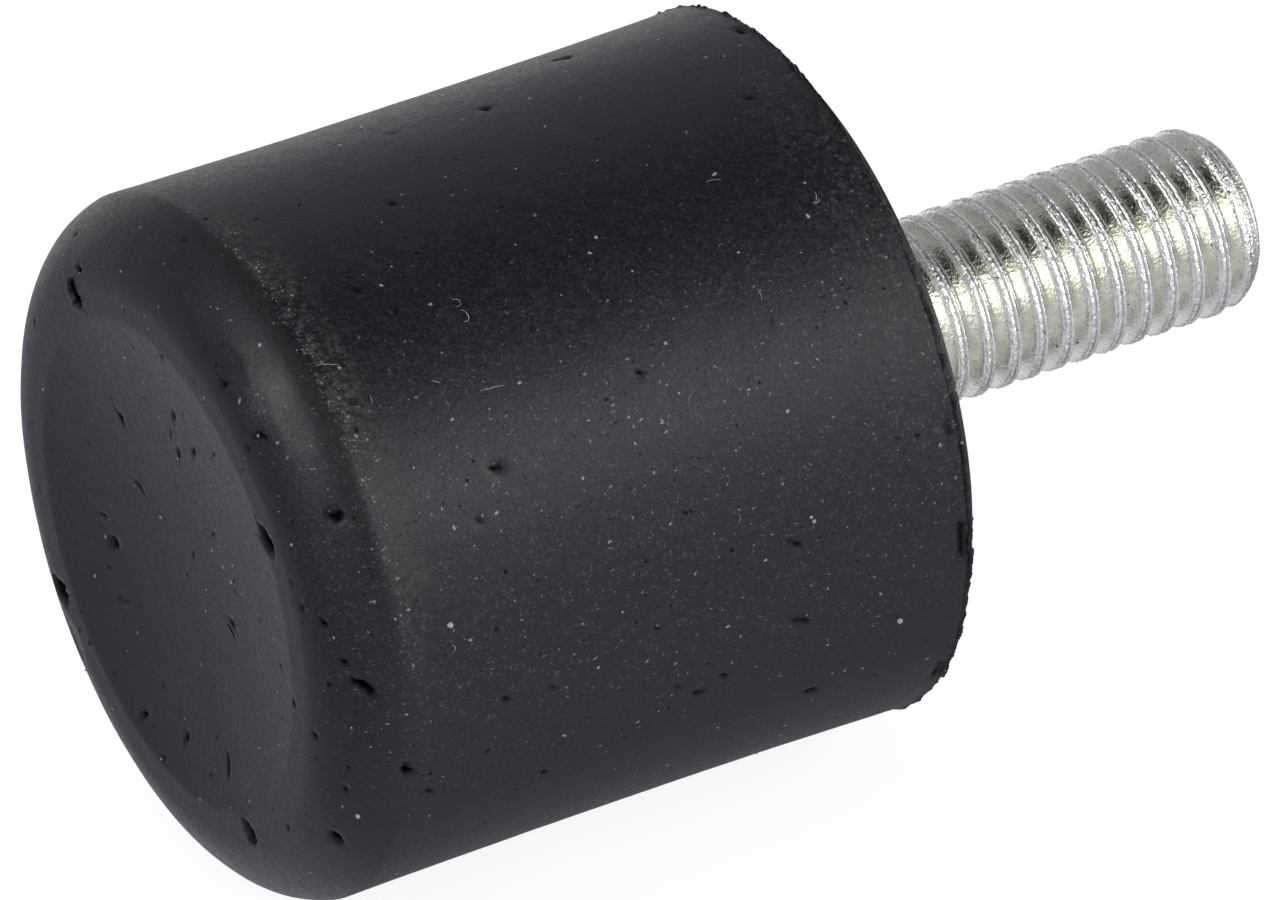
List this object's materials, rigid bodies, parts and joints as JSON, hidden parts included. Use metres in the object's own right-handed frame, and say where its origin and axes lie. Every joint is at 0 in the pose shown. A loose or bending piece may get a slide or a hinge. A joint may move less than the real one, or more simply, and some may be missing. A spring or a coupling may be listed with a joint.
{
  "type": "threaded rubber buffer",
  "caption": "Round rubber buffer with a dished front and rounded nose, bonded to a steel disc with a male threaded stud for screwing it in place.",
  "frame": {"origin": "centre of the mounting face, where the stud leaves the plate", "axes": "+Z along the stud, away from the rubber; the buffer stands on its front rim with the stud up"},
  "size_m": [0.0306, 0.0306, 0.0497],
  "materials": {
    "rubber": "satin moulded black rubber with dust, pits and flash",
    "plate_zinc": "zinc plated steel disc, dull",
    "stud_zinc": "bright zinc plated rolled thread with a pale yellow-green tint"
  },
  "bodies": {
    "root": {"rubber_body": "rubber", "base_plate": "plate_zinc", "threaded_stud": "stud_zinc"}
  },
  "joints": []
}
